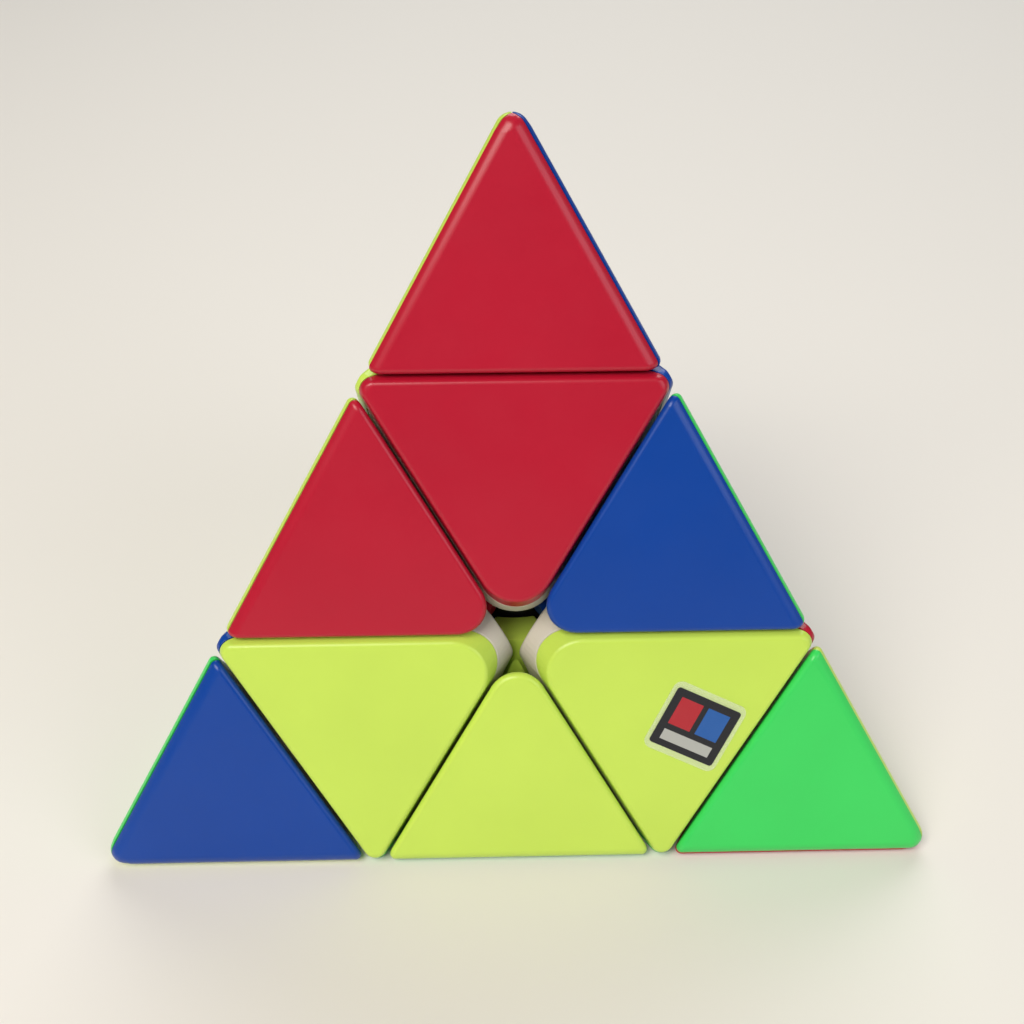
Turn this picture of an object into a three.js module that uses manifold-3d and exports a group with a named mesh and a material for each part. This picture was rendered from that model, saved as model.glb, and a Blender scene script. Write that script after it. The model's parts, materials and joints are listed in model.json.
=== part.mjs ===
// Three-layer pyramid twisty puzzle: a regular tetrahedron whose four corner layers and four tips turn
// about the four axes from its centre to its corners. Millimetres, +Z up, origin at the centre of the core.
// A black core carries four sprung screws. Each screw holds a hollow white corner piece (the axial) and
// the tip on it. Six edge pieces are captive: their feet run under the axials, on a ball-shaped track.
import * as THREE from "three";
import { mergeVertices } from "three/addons/utils/BufferGeometryUtils.js";
import { ConvexGeometry } from "three/addons/geometries/ConvexGeometry.js";
import Module from "manifold-3d";

const wasm = await Module();
wasm.setup();

// Outer form
const EDGE_LENGTH = 98; // sharp edge of the tetrahedron, before its ridges are rounded
const RIDGE_RADIUS = 1.6; // rounding of the outer ridges and corners
const AXIAL_CORNER_RADIUS = 4; // corners of the axials at the open middle of a face
const EDGE_CORNER_RADIUS = 3.2; // corners of the edge pieces there
const RIM_CORNER_RADIUS = 1.5; // all other corners of plates, shells and edge pieces

// Gaps
const SEAM_GAP = 0.4; // between pieces that turn past each other
const PART_GAP = 0.3; // between pieces that are assembled together
const TRACK_CLEARANCE = 0.25; // each side of the ball-shaped track
const SPIN_CLEARANCE = 0.3; // radial, between turned pieces and the bores they turn in

// Walls
const PLATE_THICKNESS = 1.8; // coloured plates and tip shells
const WALL = 1.6; // hollow axials and edge pieces
const FLOOR_WALL = 2.2; // between the track and the hollows above it
const PLUG_DEPTH = 1.2; // rib under a plate, which drops into the hollow axial

// Mechanism
const FLANGE_DEPTH = 5.8; // from the middle of a face down to the track
const FOOT_THICKNESS = 3.7;
const FOOT_CUT = 2; // distance of the feet's side walls from the centre of the core
const ARM_RADIUS = 3.8;
const ARM_RISE = 1.45; // of an arm above the core's ball
const STEM_RADIUS = 5;
const STEM_GAP = 0.4; // between an arm's end and the axial's stem
const WELL_DEPTH = 14.6; // of the bore for the tip's boss, below the tip seam
const BOSS_RADIUS = 5;
const BOSS_FLOOR = 1.8;
const BOSS_WALL = 1.2;
const BOSS_ROOT = 1; // how far the boss runs up into the tip's base
const TIP_BASE_HEIGHT = 6; // above the tip seam

// Screw, spring and washer
const SCREW_RADIUS = 1.25;
const SCREW_HEAD_RADIUS = 2.6;
const SCREW_HEAD_HEIGHT = 1.8;
const SCREW_HEAD_CHAMFER = 0.6;
const SCREW_GRIP = 6; // length of the screw inside the core's arm
const SCREW_TIP_ROOM = 1; // of the hole past the screw's tip
const DRIVE_SLOT = { length: 3.4, width: 0.8, depth: 0.9 };
const WASHER_RADIUS = 3.2;
const WASHER_THICKNESS = 0.6;
const SPRING_LENGTH = 7.5;
const SPRING_RADIUS = 2.6; // to the middle of the wire
const SPRING_WIRE = 0.35; // radius of the wire
const SPRING_TURNS = 4.5;

// Sticker on one plate
const STICKER_SIZE = { width: 8.8, height: 8.7, thickness: 0.12, corner: 1, lift: 0.05 };
const STICKER_PLACE = { right: 3.1, up: -1.3, turn: -26 }; // from the middle of its plate, and degrees

// Fineness of the round surfaces
const BALL_DETAIL = 3;
const HOLLOW_DETAIL = 1; // of the round floors of hollows, which nothing slides on
const TURNED_SIDES = 24;
const SMALL_SIDES = 12;
const RIDGE_STEPS = 4; // across a rounded ridge
const HALF_ARC_STEPS = 3; // along half of a rounded corner
const COIL_STEPS = 10; // per turn
const HALF_WIRE_SIDES = 3;

const SURFACES = {
  red: { color: 0xb3243a, roughness: 0.35 },
  yellow: { color: 0xcbe65c, roughness: 0.35 },
  blue: { color: 0x003f9c, roughness: 0.35 },
  green: { color: 0x4bd867, roughness: 0.35 },
  white: { color: 0xd6d2c6, roughness: 0.45 },
  black: { color: 0x16161a, roughness: 0.4 },
  steel: { color: 0xa8abb0, roughness: 0.3, metalness: 1 },
  film: { color: 0x23262e, roughness: 0.25 },
};

// Everything below follows from the values above.
const HEIGHT = EDGE_LENGTH * Math.sqrt(2 / 3);
const LAYER_HEIGHT = HEIGHT / 3;
const FACE_DISTANCE = HEIGHT / 4;
const CORNER_DISTANCE = HEIGHT - FACE_DISTANCE;
const TIP_CUT = CORNER_DISTANCE - LAYER_HEIGHT;
const LAYER_CUT = TIP_CUT - LAYER_HEIGHT;
const HALF_SEAM = SEAM_GAP / 2;
const PLANE_TILT = Math.sqrt(8) / 3; // sine of the angle between a face and a seam plane
const FACE_TAPER = 1 / Math.sqrt(8); // sideways run of a seam plane per depth below a face
const BODY_INSET = PLATE_THICKNESS + PART_GAP;
const TRACK_RADIUS = FACE_DISTANCE - FLANGE_DEPTH;
const HOLLOW_FLOOR = TRACK_RADIUS + TRACK_CLEARANCE + FLOOR_WALL;
const FOOT_OUTER = TRACK_RADIUS - TRACK_CLEARANCE;
const FOOT_INNER = FOOT_OUTER - FOOT_THICKNESS;
const CORE_RADIUS = FOOT_INNER - 2 * TRACK_CLEARANCE;
const ARM_END = CORE_RADIUS + ARM_RISE;
const SCREW_HOLE = SCREW_RADIUS + SPIN_CLEARANCE;
const WELL_RADIUS = BOSS_RADIUS + SPIN_CLEARANCE;
const WELL_FLOOR = TIP_CUT - WELL_DEPTH;
const BOSS_BOTTOM = WELL_FLOOR + SEAM_GAP;
const SPRING_SEAT = BOSS_BOTTOM + BOSS_FLOOR + PART_GAP;
const WASHER_SEAT = SPRING_SEAT + SPRING_LENGTH + PART_GAP;
const HEAD_SEAT = WASHER_SEAT + WASHER_THICKNESS + PART_GAP;
const SCREW_END = ARM_END - SCREW_GRIP;
const FAR = 4 * EDGE_LENGTH;

const UP = new THREE.Vector3(0, 0, 1);
const CORNERS = {
  top: new THREE.Vector3(0, 0, 1),
  left: new THREE.Vector3(-Math.sqrt(2 / 3), -Math.sqrt(2) / 3, -1 / 3),
  right: new THREE.Vector3(Math.sqrt(2 / 3), -Math.sqrt(2) / 3, -1 / 3),
  back: new THREE.Vector3(0, (2 * Math.sqrt(2)) / 3, -1 / 3),
};
const CORNER_NAMES = Object.keys(CORNERS);
const FACE_OPPOSITE = { top: "bottom", left: "right", right: "left", back: "front" };

// Which colour shows on each piece: one entry for each face that the piece touches.
const COLOURS = {
  top_axial: { front: "red", left: "yellow", right: "blue" },
  left_axial: { front: "yellow", left: "blue", bottom: "green" },
  right_axial: { front: "yellow", bottom: "green", right: "red" },
  back_axial: { left: "blue", right: "red", bottom: "green" },
  top_tip: { front: "red", left: "yellow", right: "blue" },
  left_tip: { front: "blue", left: "green", bottom: "yellow" },
  right_tip: { front: "green", right: "yellow", bottom: "red" },
  back_tip: { left: "green", right: "blue", bottom: "red" },
  top_left_edge: { front: "red", left: "yellow" },
  top_right_edge: { front: "blue", right: "green" },
  top_back_edge: { left: "blue", right: "red" },
  left_right_edge: { front: "yellow", bottom: "green" },
  left_back_edge: { left: "yellow", bottom: "blue" },
  right_back_edge: { right: "green", bottom: "red" },
};

// ---- solids ----

function solid(geometry) {
  const bare = new THREE.BufferGeometry();
  bare.setAttribute("position", geometry.getAttribute("position"));
  if (geometry.index) bare.setIndex(geometry.index);
  const merged = mergeVertices(bare, 1e-4);
  return new wasm.Manifold(
    new wasm.Mesh({
      numProp: 3,
      vertProperties: new Float32Array(merged.attributes.position.array),
      triVerts: new Uint32Array(merged.index.array),
    }),
  );
}

function geometryOf(body) {
  const mesh = body.getMesh();
  const geometry = new THREE.BufferGeometry();
  geometry.setAttribute("position", new THREE.BufferAttribute(mesh.vertProperties, 3));
  geometry.setIndex(new THREE.BufferAttribute(mesh.triVerts, 1));
  const faceted = geometry.toNonIndexed();
  faceted.computeVertexNormals();
  return faceted;
}

function moved(body, matrix) {
  return solid(geometryOf(body).applyMatrix4(matrix));
}

// All points whose distance along a direction is more than a limit.
function beyond(direction, limit) {
  const box = new THREE.BoxGeometry(FAR, FAR, FAR).translate(0, 0, FAR / 2);
  box.applyQuaternion(new THREE.Quaternion().setFromUnitVectors(UP, direction));
  return solid(box.translate(...direction.clone().multiplyScalar(limit).toArray()));
}

function short(direction, limit) {
  return beyond(direction.clone().negate(), -limit);
}

function common(...bodies) {
  return bodies.reduce((kept, body) => kept.intersect(body));
}

function less(body, ...cutters) {
  return cutters.reduce((kept, cutter) => kept.subtract(cutter), body);
}

function ball(radius, detail = BALL_DETAIL) {
  return solid(new THREE.IcosahedronGeometry(radius, detail));
}

// A turned solid about +Z. The profile is a list of [radius, height] that starts and ends on the axis,
// or closes on itself.
function turned(profile, sides = TURNED_SIDES) {
  const points = profile.map(([radius, height]) => new THREE.Vector2(radius, height));
  return solid(new THREE.LatheGeometry(points, sides).rotateX(Math.PI / 2));
}

function rod(radius, low, high, sides = TURNED_SIDES) {
  return turned([[0, low], [radius, low], [radius, high], [0, high]], sides);
}

function ring(inner, outer, low, high, sides = TURNED_SIDES) {
  return turned([[inner, low], [outer, low], [outer, high], [inner, high], [inner, low]], sides);
}

// The tetrahedron with its ridges and corners rounded: the hull of four small balls.
function roundedTetrahedron() {
  const points = [];
  for (const name of CORNER_NAMES) {
    const centre = CORNERS[name].clone().multiplyScalar(CORNER_DISTANCE - 3 * RIDGE_RADIUS);
    const [a, b, c] = CORNER_NAMES.filter((other) => other !== name).map((other) => CORNERS[other]);
    for (let i = 0; i <= RIDGE_STEPS; i++) {
      for (let j = 0; j <= RIDGE_STEPS - i; j++) {
        const direction = a.clone().multiplyScalar(-i);
        direction.addScaledVector(b, -j).addScaledVector(c, i + j - RIDGE_STEPS).normalize();
        points.push(centre.clone().addScaledVector(direction, RIDGE_RADIUS));
      }
    }
  }
  return solid(new ConvexGeometry(points));
}

// ---- the front face, drawn in its own plane: x to the right, y up, z outward ----

const FRONT = CORNERS.back.clone().negate();
const FRONT_UP = UP.clone().addScaledVector(FRONT, -UP.dot(FRONT)).normalize();
const FRONT_FRAME = new THREE.Matrix4()
  .makeBasis(new THREE.Vector3().crossVectors(FRONT_UP, FRONT), FRONT_UP, FRONT)
  .setPosition(FRONT.clone().multiplyScalar(FACE_DISTANCE));

// A point of the front face, from its shares of the top, left and right corners.
function facePoint(top, left, right) {
  const reach = EDGE_LENGTH / Math.sqrt(3);
  return new THREE.Vector2((right - left) * (EDGE_LENGTH / 2), (top - (left + right) / 2) * reach);
}

const MIDDLE = facePoint(1 / 3, 1 / 3, 1 / 3);
const LEFT_RIDGE_HIGH = facePoint(2 / 3, 1 / 3, 0);
const LEFT_RIDGE_LOW = facePoint(1 / 3, 2 / 3, 0);
const RIGHT_RIDGE_HIGH = facePoint(2 / 3, 0, 1 / 3);
const TOP_CORNER = facePoint(1, 0, 0);

// A convex outline with each side moved in by its inset and each corner rounded by its radius.
// Corners run anticlockwise, and side number i leaves corner number i.
function roundedOutline(corners, insets, radii) {
  const count = corners.length;
  const sides = corners.map((corner, i) => {
    const along = corners[(i + 1) % count].clone().sub(corner).normalize();
    const inward = new THREE.Vector2(-along.y, along.x);
    return { along, inward, start: corner.clone().addScaledVector(inward, insets[i]) };
  });
  const shape = new THREE.Shape();
  sides.forEach((side, i) => {
    const before = sides[(i + count - 1) % count];
    const gap = before.start.clone().sub(side.start);
    const slide = gap.cross(before.along) / side.along.cross(before.along);
    const corner = side.start.clone().addScaledVector(side.along, slide);
    const half = Math.acos(THREE.MathUtils.clamp(-before.along.dot(side.along), -1, 1)) / 2;
    const towards = side.along.clone().sub(before.along).normalize();
    const centre = corner.clone().addScaledVector(towards, radii[i] / Math.sin(half));
    const from = before.inward.clone().negate().angle();
    const to = side.inward.clone().negate().angle();
    if (radii[i] > 0) shape.absarc(centre.x, centre.y, radii[i], from, to, false);
    else if (i === 0) shape.moveTo(corner.x, corner.y);
    else shape.lineTo(corner.x, corner.y);
  });
  shape.closePath();
  return shape;
}

// An outline on the front face, carried from a height above it to a depth below it.
function frontPrism(shape, above, depth) {
  const settings = { depth: above + depth, bevelEnabled: false, curveSegments: HALF_ARC_STEPS };
  const block = new THREE.ExtrudeGeometry(shape, settings).translate(0, 0, -depth);
  return solid(block.applyMatrix4(FRONT_FRAME));
}

// What rounds an axial's corner at the middle of the front face, or a corner that lies inside it by an
// inset: a wedge less a cone that follows the seam planes as they spread below the face.
function frontCornerCutter(depth, inset) {
  const radius = AXIAL_CORNER_RADIUS - inset / PLANE_TILT;
  const centre = new THREE.Vector2(0, 2 * (AXIAL_CORNER_RADIUS + HALF_SEAM / PLANE_TILT));
  const reach = 4 * AXIAL_CORNER_RADIUS;
  const wedge = new THREE.Shape();
  wedge.moveTo(centre.x, centre.y);
  wedge.lineTo(centre.x - reach * Math.cos(Math.PI / 6), centre.y - reach / 2);
  wedge.lineTo(centre.x + reach * Math.cos(Math.PI / 6), centre.y - reach / 2);
  wedge.closePath();
  const cone = new THREE.CylinderGeometry(radius, radius + depth * FACE_TAPER, depth, TURNED_SIDES);
  cone.rotateX(Math.PI / 2).translate(centre.x, centre.y, -depth / 2);
  return frontPrism(wedge, -PART_GAP, depth - PART_GAP).subtract(solid(cone.applyMatrix4(FRONT_FRAME)));
}

// ---- pieces, each made once, in the place it has at the top corner or on the front face ----

const HULL = roundedTetrahedron();
const SPIN_THIRD = (2 * Math.PI) / 3;
const TOP_FACES = ["back", "left", "right"].map((name) => CORNERS[name].clone().negate());

// The same body turned about the top axis by one and two thirds, as a list of three.
function threeRoundTop(body) {
  return [0, 1, 2].map((third) => moved(body, new THREE.Matrix4().makeRotationZ(third * SPIN_THIRD)));
}

// The octahedron between the seam planes of the top axial, with its seam sides moved in by seamInset and
// its outer faces by faceInset.
function axialRegion(seamInset, faceInset) {
  const sides = ["left", "right", "back"].map((name) => short(CORNERS[name], LAYER_CUT - seamInset));
  const faces = TOP_FACES.map((normal) => short(normal, FACE_DISTANCE - faceInset));
  return common(beyond(UP, LAYER_CUT + seamInset), short(UP, TIP_CUT - seamInset), ...sides, ...faces);
}

// The hollow of an axial, open towards its three plates. shrink makes what fits into it.
function axialHollow(shrink) {
  const region = axialRegion(HALF_SEAM + WALL + shrink, 0);
  const tube = rod(WELL_RADIUS + WALL + shrink, 0, CORNER_DISTANCE, SMALL_SIDES);
  const cutters = threeRoundTop(frontCornerCutter(FACE_DISTANCE, WALL + shrink));
  return less(region, tube, ball(HOLLOW_FLOOR + shrink, HOLLOW_DETAIL), ...cutters);
}

function axialBody() {
  const block = axialRegion(HALF_SEAM, BODY_INSET).subtract(ball(TRACK_RADIUS + TRACK_CLEARANCE));
  const stem = rod(STEM_RADIUS, ARM_END + STEM_GAP, WELL_FLOOR);
  const well = rod(WELL_RADIUS, WELL_FLOOR, CORNER_DISTANCE);
  const hole = rod(SCREW_HOLE, 0, CORNER_DISTANCE, SMALL_SIDES);
  const cutters = threeRoundTop(frontCornerCutter(FACE_DISTANCE, 0));
  return less(less(block, ...cutters).add(stem), well, hole, axialHollow(0));
}

// The front side of the planes that halve the two ridges of the top corner, half a gap away from each.
function frontOfRidges() {
  const normals = ["left", "right"].map((name) => CORNERS[name].clone().sub(CORNERS.back).normalize());
  return common(...normals.map((normal) => beyond(normal, PART_GAP / 2)));
}

function axialPlate() {
  const inset = HALF_SEAM / PLANE_TILT;
  const radii = [RIM_CORNER_RADIUS, AXIAL_CORNER_RADIUS, RIM_CORNER_RADIUS];
  const outline = roundedOutline([LEFT_RIDGE_HIGH, MIDDLE, RIGHT_RIDGE_HIGH], [inset, inset, inset], radii);
  const slab = common(frontPrism(outline, RIDGE_RADIUS, PLATE_THICKNESS), HULL);
  const plugHigh = FACE_DISTANCE - PLATE_THICKNESS / 2;
  const plugLow = FACE_DISTANCE - BODY_INSET - PLUG_DEPTH;
  const plug = common(axialHollow(PART_GAP), beyond(FRONT, plugLow), short(FRONT, plugHigh));
  return slab.add(plug).intersect(frontOfRidges());
}

function tipShell() {
  const inset = HALF_SEAM / PLANE_TILT;
  const radii = [RIM_CORNER_RADIUS, RIM_CORNER_RADIUS, 0];
  const corners = [LEFT_RIDGE_HIGH, RIGHT_RIDGE_HIGH, TOP_CORNER];
  const outline = roundedOutline(corners, [inset, 0, 0], radii);
  const slab = frontPrism(outline, RIDGE_RADIUS, PLATE_THICKNESS);
  return common(slab, HULL, beyond(UP, TIP_CUT + HALF_SEAM), frontOfRidges());
}

function tipBase() {
  const faces = TOP_FACES.map((normal) => short(normal, FACE_DISTANCE - BODY_INSET));
  const low = beyond(UP, TIP_CUT + HALF_SEAM);
  const block = common(...faces, low, short(UP, TIP_CUT + TIP_BASE_HEIGHT));
  const boss = rod(BOSS_RADIUS, BOSS_BOTTOM, TIP_CUT + BOSS_ROOT);
  const well = rod(BOSS_RADIUS - BOSS_WALL, BOSS_BOTTOM + BOSS_FLOOR, CORNER_DISTANCE);
  return less(block.add(boss), well, rod(SCREW_HOLE, 0, CORNER_DISTANCE, SMALL_SIDES));
}

// The front half of the edge piece between the top and left corners: a hollow block outside the track,
// a neck across it and a foot inside it.
function edgeHalf() {
  const { left, right, back } = CORNERS;
  const seam = LAYER_CUT + HALF_SEAM;
  const wedge = common(beyond(left, seam), beyond(UP, seam));
  const underFlanges = common(short(right, FOOT_CUT - HALF_SEAM), short(back, FOOT_CUT - HALF_SEAM));
  const inset = HALF_SEAM / PLANE_TILT;
  const radii = [RIM_CORNER_RADIUS, EDGE_CORNER_RADIUS, RIM_CORNER_RADIUS];
  const outline = roundedOutline([LEFT_RIDGE_LOW, MIDDLE, LEFT_RIDGE_HIGH], [inset, inset, 0], radii);
  const track = ball(TRACK_RADIUS + TRACK_CLEARANCE);
  const block = common(wedge, HULL, frontPrism(outline, RIDGE_RADIUS, FACE_DISTANCE)).subtract(track);
  const neck = common(wedge, underFlanges, ball(TRACK_RADIUS + 2 * TRACK_CLEARANCE));
  const sides = common(beyond(left, FOOT_CUT + HALF_SEAM), beyond(UP, FOOT_CUT + HALF_SEAM));
  const foot = common(sides, underFlanges, ball(FOOT_OUTER));
  const middle = right.clone().sub(back).normalize();
  const seamWalls = common(beyond(left, seam + WALL), beyond(UP, seam + WALL));
  const hollow = common(seamWalls, short(FRONT, FACE_DISTANCE - WALL));
  const shell = block.subtract(hollow.subtract(ball(HOLLOW_FLOOR, HOLLOW_DETAIL)));
  return common(shell.add(neck).add(foot).subtract(ball(FOOT_INNER)), beyond(middle, PART_GAP / 2));
}

// Quaternion that takes the top corner to another one, by a half turn about the line between them.
function turnTopTo(name) {
  if (name === "top") return new THREE.Quaternion();
  const axis = CORNERS[name].clone().add(UP).normalize();
  return new THREE.Quaternion().setFromAxisAngle(axis, Math.PI);
}

function core() {
  const hole = rod(SCREW_HOLE, SCREW_END - SCREW_TIP_ROOM, FAR, SMALL_SIDES);
  const arm = rod(ARM_RADIUS, 0, ARM_END, SMALL_SIDES);
  const turns = CORNER_NAMES.map((name) => new THREE.Matrix4().makeRotationFromQuaternion(turnTopTo(name)));
  const withArms = turns.reduce((kept, turn) => kept.add(moved(arm, turn)), ball(CORE_RADIUS));
  return less(withArms, ...turns.map((turn) => moved(hole, turn)));
}

function screw() {
  const top = HEAD_SEAT + SCREW_HEAD_HEIGHT;
  const profile = [
    [0, SCREW_END],
    [SCREW_RADIUS, SCREW_END + SCREW_RADIUS],
    [SCREW_RADIUS, HEAD_SEAT],
    [SCREW_HEAD_RADIUS, HEAD_SEAT],
    [SCREW_HEAD_RADIUS, top - SCREW_HEAD_CHAMFER],
    [SCREW_HEAD_RADIUS - SCREW_HEAD_CHAMFER, top],
    [0, top],
  ];
  const slot = new THREE.BoxGeometry(DRIVE_SLOT.length, DRIVE_SLOT.width, 2 * DRIVE_SLOT.depth);
  slot.translate(0, 0, top);
  const cross = solid(slot).add(solid(slot.clone().rotateZ(Math.PI / 2)));
  return turned(profile, SMALL_SIDES).subtract(cross);
}

function washer() {
  return ring(SCREW_HOLE, WASHER_RADIUS, WASHER_SEAT, WASHER_SEAT + WASHER_THICKNESS, SMALL_SIDES);
}

class Coil extends THREE.Curve {
  getPoint(t, target = new THREE.Vector3()) {
    const angle = t * SPRING_TURNS * 2 * Math.PI;
    const rise = SPRING_WIRE + t * (SPRING_LENGTH - 2 * SPRING_WIRE);
    return target.set(SPRING_RADIUS * Math.cos(angle), SPRING_RADIUS * Math.sin(angle), rise);
  }
}

function spring() {
  const section = new THREE.Shape();
  section.absarc(0, 0, SPRING_WIRE, 0, 2 * Math.PI);
  const steps = Math.round(SPRING_TURNS * COIL_STEPS);
  const settings = { steps, extrudePath: new Coil(), curveSegments: HALF_WIRE_SIDES };
  return solid(new THREE.ExtrudeGeometry(section, settings).translate(0, 0, SPRING_SEAT));
}

// The sticker lies just above the plate of the right corner's axial on the front face.
function sticker() {
  const { width, height, thickness, corner, lift } = STICKER_SIZE;
  const halfWidth = width / 2;
  const halfHeight = height / 2;
  const corners = [
    new THREE.Vector2(-halfWidth, -halfHeight),
    new THREE.Vector2(halfWidth, -halfHeight),
    new THREE.Vector2(halfWidth, halfHeight),
    new THREE.Vector2(-halfWidth, halfHeight),
  ];
  const outline = roundedOutline(corners, [0, 0, 0, 0], [corner, corner, corner, corner]);
  const settings = { depth: thickness, bevelEnabled: false, curveSegments: HALF_ARC_STEPS };
  const film = new THREE.ExtrudeGeometry(outline, settings);
  const middle = facePoint(2 / 9, 2 / 9, 5 / 9);
  film.rotateZ(THREE.MathUtils.degToRad(STICKER_PLACE.turn));
  film.translate(middle.x + STICKER_PLACE.right, middle.y + STICKER_PLACE.up, lift);
  return solid(film.applyMatrix4(FRONT_FRAME));
}

// ---- the scene graph ----

function materialOf(surface) {
  return new THREE.MeshStandardMaterial({ metalness: 0, ...SURFACES[surface] });
}

const MATERIALS = Object.fromEntries(Object.keys(SURFACES).map((name) => [name, materialOf(name)]));

function addMesh(parent, name, geometry, surface) {
  const mesh = new THREE.Mesh(geometry, MATERIALS[surface]);
  mesh.name = name;
  parent.add(mesh);
}

// The corner that a direction of the top corner's frame points at, once the frame is turned.
function cornerAlong(direction, turn) {
  const turnedDirection = direction.clone().applyQuaternion(turn);
  return CORNER_NAMES.find((name) => CORNERS[name].dot(turnedDirection) > 0.9);
}

const GEOMETRY = {
  axialBody: geometryOf(axialBody()),
  axialPlate: geometryOf(axialPlate()),
  tipBase: geometryOf(tipBase()),
  tipShell: geometryOf(tipShell()),
  edgeHalf: geometryOf(edgeHalf()),
  screw: geometryOf(screw()),
  washer: geometryOf(washer()),
  spring: geometryOf(spring()),
};

const puzzle = new THREE.Group();
addMesh(puzzle, "core", geometryOf(core()), "black");

for (const corner of CORNER_NAMES) {
  const cornerGroup = new THREE.Group();
  cornerGroup.quaternion.copy(turnTopTo(corner));
  puzzle.add(cornerGroup);
  addMesh(cornerGroup, `${corner}_screw`, GEOMETRY.screw, "steel");
  addMesh(cornerGroup, `${corner}_washer`, GEOMETRY.washer, "steel");
  addMesh(cornerGroup, `${corner}_spring`, GEOMETRY.spring, "steel");
  addMesh(cornerGroup, `${corner}_axial_body`, GEOMETRY.axialBody, "white");
  addMesh(cornerGroup, `${corner}_tip_base`, GEOMETRY.tipBase, "white");
  for (let third = 0; third < 3; third++) {
    const faceGroup = new THREE.Group();
    faceGroup.rotation.z = third * SPIN_THIRD;
    cornerGroup.add(faceGroup);
    const turn = cornerGroup.quaternion.clone().multiply(faceGroup.quaternion);
    const face = FACE_OPPOSITE[cornerAlong(CORNERS.back, turn)];
    const ends = [corner, cornerAlong(CORNERS.left, turn)];
    const edge = CORNER_NAMES.filter((name) => ends.includes(name)).join("_") + "_edge";
    const plateColour = COLOURS[`${corner}_axial`][face];
    addMesh(faceGroup, `${corner}_axial_plate_${face}`, GEOMETRY.axialPlate, plateColour);
    addMesh(faceGroup, `${corner}_tip_shell_${face}`, GEOMETRY.tipShell, COLOURS[`${corner}_tip`][face]);
    addMesh(faceGroup, `${edge}_${face}`, GEOMETRY.edgeHalf, COLOURS[edge][face]);
  }
}
addMesh(puzzle, "plate_sticker", geometryOf(sticker()), "film");

export default puzzle;
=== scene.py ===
"""Pyramid twisty puzzle: the fine shapes and finishes of its mouldings, built round the CAD frame.

The axials, the tips and the edge pieces are each cut out of one rounded cell: the space between the
faces and the seams, with its ridges, corners and edges rounded. A plate or a tip shell is the outer skin
of its cell and a body is the rest, so that the two run on from each other without a step. Shapes are
made in millimetres in the place of the top corner, and then carried to the other corners and faces.
"""

import itertools
import json
import math
from collections import namedtuple

import bmesh
import bpy
from bpy.props import FloatProperty, FloatVectorProperty, PointerProperty
from mathutils import Matrix, Vector

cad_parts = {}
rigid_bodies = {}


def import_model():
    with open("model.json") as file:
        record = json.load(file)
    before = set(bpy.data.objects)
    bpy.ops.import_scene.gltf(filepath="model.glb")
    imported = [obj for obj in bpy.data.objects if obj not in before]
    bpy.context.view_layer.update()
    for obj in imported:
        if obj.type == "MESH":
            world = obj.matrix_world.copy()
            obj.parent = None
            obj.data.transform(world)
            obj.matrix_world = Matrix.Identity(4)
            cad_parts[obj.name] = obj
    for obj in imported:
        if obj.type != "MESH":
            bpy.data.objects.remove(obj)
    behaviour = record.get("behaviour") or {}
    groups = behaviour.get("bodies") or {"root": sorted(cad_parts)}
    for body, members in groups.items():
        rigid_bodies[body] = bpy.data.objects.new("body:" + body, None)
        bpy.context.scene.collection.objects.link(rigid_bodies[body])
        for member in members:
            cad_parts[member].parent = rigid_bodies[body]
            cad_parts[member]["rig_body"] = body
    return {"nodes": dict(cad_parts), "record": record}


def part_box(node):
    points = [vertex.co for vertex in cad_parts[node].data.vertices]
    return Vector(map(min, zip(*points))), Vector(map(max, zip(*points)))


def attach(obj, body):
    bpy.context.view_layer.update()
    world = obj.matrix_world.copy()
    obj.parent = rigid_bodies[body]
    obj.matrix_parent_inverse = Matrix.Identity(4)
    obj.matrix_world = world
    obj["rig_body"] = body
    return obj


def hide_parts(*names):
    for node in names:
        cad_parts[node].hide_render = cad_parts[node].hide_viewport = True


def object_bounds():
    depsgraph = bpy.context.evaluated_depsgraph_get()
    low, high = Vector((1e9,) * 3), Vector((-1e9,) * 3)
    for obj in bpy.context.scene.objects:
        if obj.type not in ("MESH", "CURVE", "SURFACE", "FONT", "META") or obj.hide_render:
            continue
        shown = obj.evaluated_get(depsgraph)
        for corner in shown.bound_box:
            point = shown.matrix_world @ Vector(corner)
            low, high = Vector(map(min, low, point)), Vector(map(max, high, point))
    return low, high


bl_info = {
    "name": "Pyramid twisty puzzle",
    "version": (1, 0, 0),
    "blender": (4, 5, 0),
    "location": "View3D > Sidebar > Puzzle",
    "description": "Builds a pyramid twisty puzzle round its CAD frame",
    "category": "Add Mesh",
}

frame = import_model()
CAD_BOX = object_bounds()
SLOT_OF = {row["node"]: row["material_slot"] for row in frame["record"]["subparts"]}
MM = 0.001

# Distances from the centre of the core, in millimetres. The lowest point of a plate of the bottom face
# gives the distance of all four faces.
FACE = -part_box("left_axial_plate_bottom")[0].z / MM
HEIGHT = 4 * FACE
CORNER = 3 * FACE
TIP_CUT = CORNER - HEIGHT / 3
LAYER_CUT = TIP_CUT - HEIGHT / 3
FAR = 4 * HEIGHT

UP = Vector((0, 0, 1))
CORNERS = {
    "top": UP,
    "left": Vector((-math.sqrt(2 / 3), -math.sqrt(2) / 3, -1 / 3)),
    "right": Vector((math.sqrt(2 / 3), -math.sqrt(2) / 3, -1 / 3)),
    "back": Vector((0, 2 * math.sqrt(2) / 3, -1 / 3)),
}
FACE_OPPOSITE = {"top": "bottom", "left": "right", "right": "left", "back": "front"}
FACES = {face: -CORNERS[corner] for corner, face in FACE_OPPOSITE.items()}
FRONT = FACES["front"]
TOP_FACES = ("front", "left", "right")

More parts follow.
